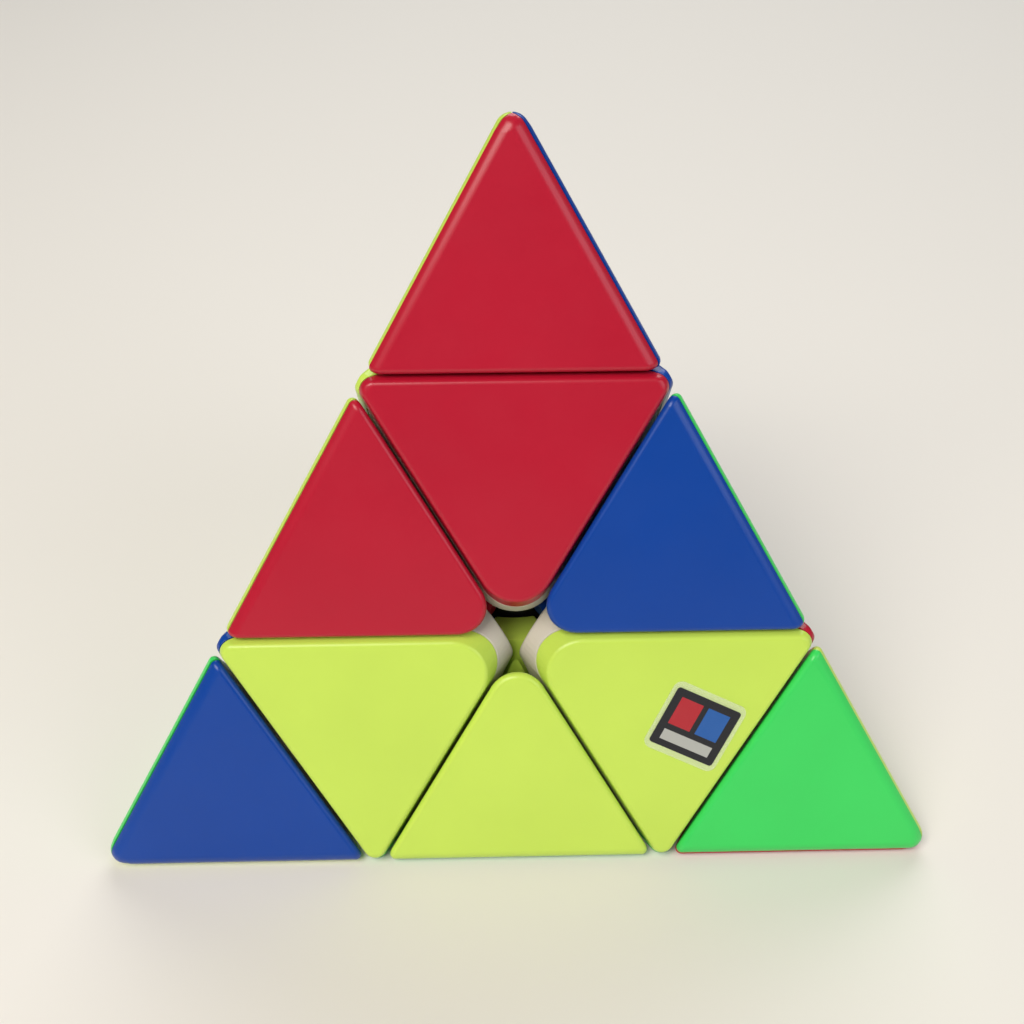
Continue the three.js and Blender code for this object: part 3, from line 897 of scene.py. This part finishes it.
def clear_film(name):
    """Clear vinyl: shows the plate through it, with a sharper gloss and a paler edge."""
    material, tree = blank(name)
    place = add(tree, "ShaderNodeTexCoord").outputs["Object"]
    waves = add(tree, "ShaderNodeTexNoise", {"Vector": place, "Scale": per_mm(2.5), "Detail": 2})
    relief = add(
        tree,
        "ShaderNodeBump",
        {"Height": waves.outputs["Fac"], "Strength": 0.3, "Distance": 0.02 * MM},
    )
    shader = add(
        tree,
        "ShaderNodeBsdfPrincipled",
        {
            "Base Color": (0.85, 0.87, 0.75, 1),
            "Roughness": 0.16,
            "Alpha": 0.22,
            "Normal": relief.outputs["Normal"],
        },
    )
    add(tree, "ShaderNodeOutputMaterial", {"Surface": shader.outputs["BSDF"]})
    return material


def within(tree, value, middle, half):
    """One where a value lies within a half width of its middle, and zero elsewhere."""
    node = add(tree, "ShaderNodeMath", {0: value, 1: middle, 2: half}, operation="COMPARE")
    return node.outputs["Value"]


def over(tree, mask, below, above):
    """One colour laid over another where a mask is one."""
    node = add(tree, "ShaderNodeMix", {"Factor": mask}, data_type="RGBA")
    for name, paint in (("A", below), ("B", above)):
        if isinstance(paint, bpy.types.NodeSocket):
            tree.links.new(paint, node.inputs[name])
        else:
            node.inputs[name].default_value = (*paint, 1)
    return node.outputs["Result"]


def screen_print(name):
    """Glossy screen-printed ink: two plain blocks and a plain bar on a dark ground."""
    colours = bpy.context.scene.puzzle_colours
    material, tree = blank(name)
    place = add(tree, "ShaderNodeUVMap", uv_map="card").outputs["UV"]
    axes = add(tree, "ShaderNodeSeparateXYZ", {"Vector": place}).outputs
    paint = tuple(colours.ink)
    blocks = [(0.29, 0.63, 0.17, 0.24, colours.print_red), (0.71, 0.63, 0.17, 0.24, colours.print_blue)]
    for x, y, wide, high, tint in [*blocks, (0.5, 0.2, 0.38, 0.09, colours.print_pale)]:
        across, along = within(tree, axes["X"], x, wide), within(tree, axes["Y"], y, high)
        both = add(tree, "ShaderNodeMath", {0: across, 1: along}, operation="MULTIPLY")
        paint = over(tree, both.outputs["Value"], paint, tint)
    grain = add(tree, "ShaderNodeTexNoise", {"Scale": 60, "Detail": 2, "Vector": place})
    rough = add(
        tree,
        "ShaderNodeMapRange",
        {"Value": grain.outputs["Fac"], "To Min": 0.14, "To Max": 0.3},
    )
    shader = add(
        tree,
        "ShaderNodeBsdfPrincipled",
        {"Base Color": paint, "Roughness": rough.outputs["Result"]},
    )
    add(tree, "ShaderNodeOutputMaterial", {"Surface": shader.outputs["BSDF"]})
    return material


FINISHES = {
    "red_plastic": ("moulded ABS red", "red", 0.3),
    "yellow_plastic": ("moulded ABS yellow", "yellow", 0.3),
    "blue_plastic": ("moulded ABS blue", "blue", 0.3),
    "green_plastic": ("moulded ABS green", "green", 0.3),
    "white_plastic": ("moulded ABS milky white", "white", 0.38),
    "black_plastic": ("moulded ABS black", "black", 0.33),
}


def finish_of(slot):
    colours = bpy.context.scene.puzzle_colours
    if slot == "steel":
        return bpy.data.materials.get("zinc-plated steel") or plated_steel("zinc-plated steel", colours.steel)
    name, tint, roughness = FINISHES[slot]
    return bpy.data.materials.get(name) or moulded_abs(name, getattr(colours, tint), roughness)


# ---- operators ----


class PUZZLE_OT_axials(bpy.types.Operator):
    """Adds the four hollow axial bodies and their twelve coloured plates"""

    bl_idname = "puzzle.axials"
    bl_label = "Axials"

    def execute(self, context):
        body, plate = axial_body(), axial_plate()
        for corner in CORNERS:
            add_piece(body, f"{corner}_axial_body", top_to(corner), "moulding")
        for corner, face, _, turn in face_places():
            add_piece(plate, f"{corner}_axial_plate_{face}", turn, "moulding")
        return {"FINISHED"}


class PUZZLE_OT_tips(bpy.types.Operator):
    """Adds the four tip bases and their twelve coloured shells"""

    bl_idname = "puzzle.tips"
    bl_label = "Tips"

    def execute(self, context):
        base, shell = tip_base(), tip_shell()
        for corner in CORNERS:
            add_piece(base, f"{corner}_tip_base", top_to(corner), "moulding")
        for corner, face, _, turn in face_places():
            add_piece(shell, f"{corner}_tip_shell_{face}", turn, "moulding")
        return {"FINISHED"}


class PUZZLE_OT_edges(bpy.types.Operator):
    """Adds the twelve halves of the six edge pieces"""

    bl_idname = "puzzle.edges"
    bl_label = "Edge pieces"

    def execute(self, context):
        half = edge_half()
        for _, face, edge, turn in face_places():
            add_piece(half, f"{edge}_{face}", turn, "moulding")
        return {"FINISHED"}


class PUZZLE_OT_core(bpy.types.Operator):
    """Adds the black core"""

    bl_idname = "puzzle.core"
    bl_label = "Core"

    def execute(self, context):
        add_piece(core(), "core", Matrix.Identity(4), "moulding")
        return {"FINISHED"}


class PUZZLE_OT_fixings(bpy.types.Operator):
    """Adds the four screws with their washers and springs"""

    bl_idname = "puzzle.fixings"
    bl_label = "Fixings"

    def execute(self, context):
        for kind, mesh in (("screw", screw()), ("washer", washer()), ("spring", spring())):
            for corner in CORNERS:
                add_piece(mesh, f"{corner}_{kind}", top_to(corner), "fixing")
        return {"FINISHED"}


class PUZZLE_OT_sticker(bpy.types.Operator):
    """Adds the clear film with its printed patch"""

    bl_idname = "puzzle.sticker"
    bl_label = "Sticker"

    def execute(self, context):
        still = Matrix.Identity(4)
        thickness = size("film_thickness")
        film = card("film", FILM_LIFT, thickness)
        add_piece(film, "plate_sticker", still, "film", clear_film("clear vinyl film"))
        ink = card("print", FILM_LIFT + thickness + INK_LIFT, INK_THICKNESS)
        add_piece(ink, "plate_sticker", still, "print", screen_print("screen-printed ink"))
        return {"FINISHED"}


class PUZZLE_OT_stage(bpy.types.Operator):
    """Adds the floor, the lights and the camera"""

    bl_idname = "puzzle.stage"
    bl_label = "Stage"

    def execute(self, context):
        add_floor()
        add_lights()
        add_camera()
        context.scene.view_settings.view_transform = "Standard"
        return {"FINISHED"}


# ---- stage ----

FLOOR_GAP = 0.02 * MM  # keeps the floor clear of the bottom plates


def add_floor():
    mesh = bmesh.new()
    bmesh.ops.create_grid(mesh, x_segments=1, y_segments=1, size=3)
    floor = object_of(mesh, "floor")
    floor.location.z = CAD_BOX[0].z - FLOOR_GAP
    material, tree = blank("matt painted board")
    place = add(tree, "ShaderNodeTexCoord").outputs["Object"]
    clouds = add(tree, "ShaderNodeTexNoise", {"Vector": place, "Scale": per_mm(3), "Detail": 3})
    relief = add(
        tree,
        "ShaderNodeBump",
        {"Height": clouds.outputs["Fac"], "Strength": 0.1, "Distance": 0.02 * MM},
    )
    shader = add(
        tree,
        "ShaderNodeBsdfPrincipled",
        {
            "Base Color": (*bpy.context.scene.puzzle_colours.floor, 1),
            "Roughness": 0.6,
            "Normal": relief.outputs["Normal"],
        },
    )
    add(tree, "ShaderNodeOutputMaterial", {"Surface": shader.outputs["BSDF"]})
    floor.data.materials.append(material)


def area_light(name, place, target, width, height, watts, tint="#ffffff"):
    light = bpy.data.lights.new(name, "AREA")
    light.shape = "RECTANGLE"
    light.size, light.size_y = width, height
    light.energy = watts
    light.color = linear(tint)
    made = bpy.data.objects.new(name, light)
    made.location = place
    made.rotation_mode = "QUATERNION"
    made.rotation_quaternion = (Vector(target) - Vector(place)).to_track_quat("-Z", "Y")
    bpy.context.scene.collection.objects.link(made)


def add_lights():
    target = (0, 0, 0.01)
    area_light("key_softbox", (-0.3, -0.42, 0.62), target, 0.5, 0.5, 6.6, "#fff8ef")
    area_light("fill_softbox", (0.6, -0.45, 0.42), target, 0.6, 0.5, 2.2, "#f2f6ff")
    area_light("back_softbox", (0.1, 0.6, 0.55), target, 0.7, 0.4, 3.2)
    world = bpy.data.worlds.new("studio")
    world.use_nodes = True
    world.node_tree.nodes["Background"].inputs["Color"].default_value = (*linear("#e9edf2"), 1)
    world.node_tree.nodes["Background"].inputs["Strength"].default_value = 0.13
    bpy.context.scene.world = world


def add_camera():
    view = bpy.context.scene.puzzle_camera
    camera = bpy.data.objects.new("camera", bpy.data.cameras.new("camera"))
    camera.data.lens = view.lens
    camera.data.clip_start = 0.005
    level = math.cos(view.elevation)
    back = Vector(
        (math.sin(view.azimuth) * level, -math.cos(view.azimuth) * level, math.sin(view.elevation))
    )
    right = Vector((math.cos(view.azimuth), math.sin(view.azimuth), 0))
    up = back.cross(right)
    aim = up * view.aim_up - right * AIM_LEFT
    turned_right = right * math.cos(view.roll) + up * math.sin(view.roll)
    turned_up = up * math.cos(view.roll) - right * math.sin(view.roll)
    turn = Matrix((turned_right, turned_up, back)).transposed()
    camera.matrix_world = Matrix.Translation(aim + back * view.distance) @ turn.to_4x4()
    bpy.context.scene.collection.objects.link(camera)
    bpy.context.scene.camera = camera


# ---- panel and registration ----

STEPS = ("axials", "tips", "edges", "core", "fixings", "sticker", "stage")


class PUZZLE_PT_panel(bpy.types.Panel):
    bl_idname = "PUZZLE_PT_panel"
    bl_label = "Pyramid twisty puzzle"
    bl_space_type = "VIEW_3D"
    bl_region_type = "UI"
    bl_category = "Puzzle"

    def draw(self, context):
        for step in STEPS:
            self.layout.operator(f"puzzle.{step}")
        for name in GROUPS:
            group = getattr(context.scene, name)
            for prop in group.__annotations__:
                self.layout.prop(group, prop)


GROUPS = {
    "puzzle_mouldings": PuzzleMouldings,
    "puzzle_mechanism": PuzzleMechanism,
    "puzzle_sticker": PuzzleSticker,
    "puzzle_colours": PuzzleColours,
    "puzzle_camera": PuzzleCamera,
}
OPERATORS = (
    PUZZLE_OT_axials,
    PUZZLE_OT_tips,
    PUZZLE_OT_edges,
    PUZZLE_OT_core,
    PUZZLE_OT_fixings,
    PUZZLE_OT_sticker,
    PUZZLE_OT_stage,
)


def register():
    for cls in (*GROUPS.values(), *OPERATORS, PUZZLE_PT_panel):
        bpy.utils.register_class(cls)
    for name, group in GROUPS.items():
        setattr(bpy.types.Scene, name, PointerProperty(type=group))


def unregister():
    for name in GROUPS:
        delattr(bpy.types.Scene, name)
    for cls in (PUZZLE_PT_panel, *reversed(OPERATORS), *reversed(GROUPS.values())):
        bpy.utils.unregister_class(cls)


def main():
    register()
    for step in STEPS:
        getattr(bpy.ops.puzzle, step)()


if __name__ == "__main__":
    main()
